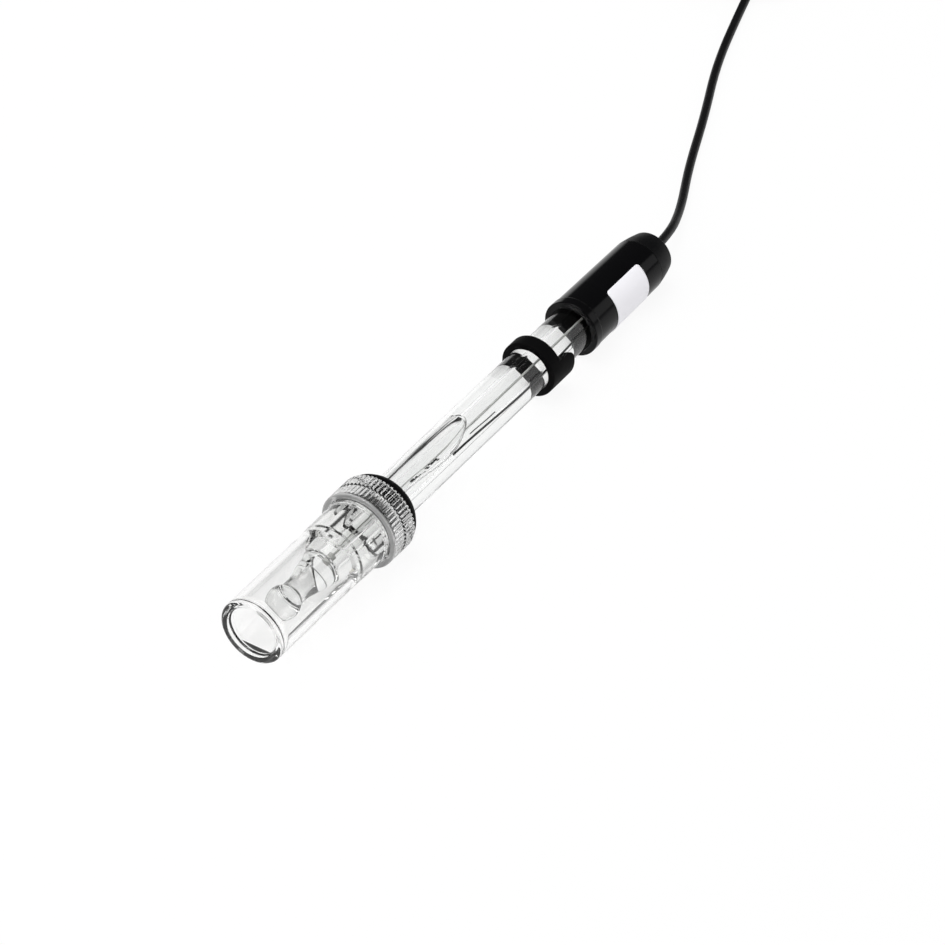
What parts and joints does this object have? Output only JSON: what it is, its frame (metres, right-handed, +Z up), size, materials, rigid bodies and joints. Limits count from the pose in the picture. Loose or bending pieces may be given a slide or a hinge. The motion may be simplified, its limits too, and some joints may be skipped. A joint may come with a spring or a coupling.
{
  "type": "glass combination electrode",
  "caption": "Glass combination electrode with sensing bulb in a screw-capped soaker bottle, rubber sleeve over the filling hole, black head, thin cable and bayonet plug.",
  "frame": {"origin": "centre of the electrode's length on the bench that it lies on, without its cable", "axes": "+X along the electrode from the bottle's foot towards the cable, +Z up"},
  "size_m": [0.3438, 0.0902, 0.0219],
  "materials": {
    "clear_plastic": "clear, polished",
    "clear_cap": "clear, ribbed",
    "clear_glass": "clear, fire polished",
    "black_rubber": "satin",
    "bung_rubber": "satin",
    "ceramic": "porous, matt",
    "silver_wire": "dull, with a dark chloride coat at the tip",
    "coated_wire": "dark chloride coat",
    "head_plastic": "polished",
    "collar_plastic": "satin",
    "label_paper": "coated paper, blank",
    "lead_sheath": "satin",
    "cable_sheath": "satin",
    "plug_metal": "nickel plated, bright",
    "plug_plastic": "smooth",
    "pin_metal": "gold plated"
  },
  "bodies": {
    "electrode": {"sensing_bulb": "clear_glass", "outer_tube": "clear_glass", "junction_plug": "ceramic", "inner_stem": "clear_glass", "measuring_wire": "silver_wire", "reference_wire": "coated_wire", "tube_bung": "bung_rubber", "stem_stopper": "bung_rubber", "head_shell": "head_plastic", "head_collar": "collar_plastic", "head_label": "label_paper", "core_lead": "lead_sheath", "shield_lead": "lead_sheath", "plug_ferrule": "plug_metal", "plug_body": "plug_metal", "plug_insulator": "plug_plastic", "plug_pin": "pin_metal", "cable": "cable_sheath", "cable_coil": "cable_sheath", "cable_tail": "cable_sheath"},
    "bottle": {"soaker_bottle": "clear_plastic"},
    "seals": {"cap_gasket": "black_rubber", "sealing_ring": "black_rubber"},
    "cap": {"knurled_cap": "clear_cap"},
    "sleeve": {"fill_sleeve": "black_rubber"},
    "nut": {"bayonet_nut": "plug_metal"}
  },
  "joints": [
    {"name": "bottle_draw", "type": "slide", "parent": "electrode", "child": "bottle", "axis": [-0.9996, 0, 0.0282], "range_m": [0, 0.06]},
    {"name": "cap_lift", "type": "slide", "parent": "bottle", "child": "seals", "axis": [0.9996, 0, -0.0282], "range_m": [0, 0.0036]},
    {"name": "cap_turn", "type": "hinge", "parent": "seals", "child": "cap", "pos_m": [-0.0396, 0, 0.01089], "axis": [0.9996, 0, -0.0282], "range_deg": [0, 720]},
    {"name": "sleeve_slide", "type": "slide", "parent": "electrode", "child": "sleeve", "axis": [-0.9996, 0, 0.0282], "range_m": [0, 0.009]},
    {"name": "nut_turn", "type": "hinge", "parent": "electrode", "child": "nut", "pos_m": [0.245, 0.0315, 0.00725], "axis": [1, 0, 0], "continuous": true}
  ],
  "couplings": [
    {"joint": "cap_lift", "follows": "cap_turn", "m_per_rad": 0.00028648}
  ]
}
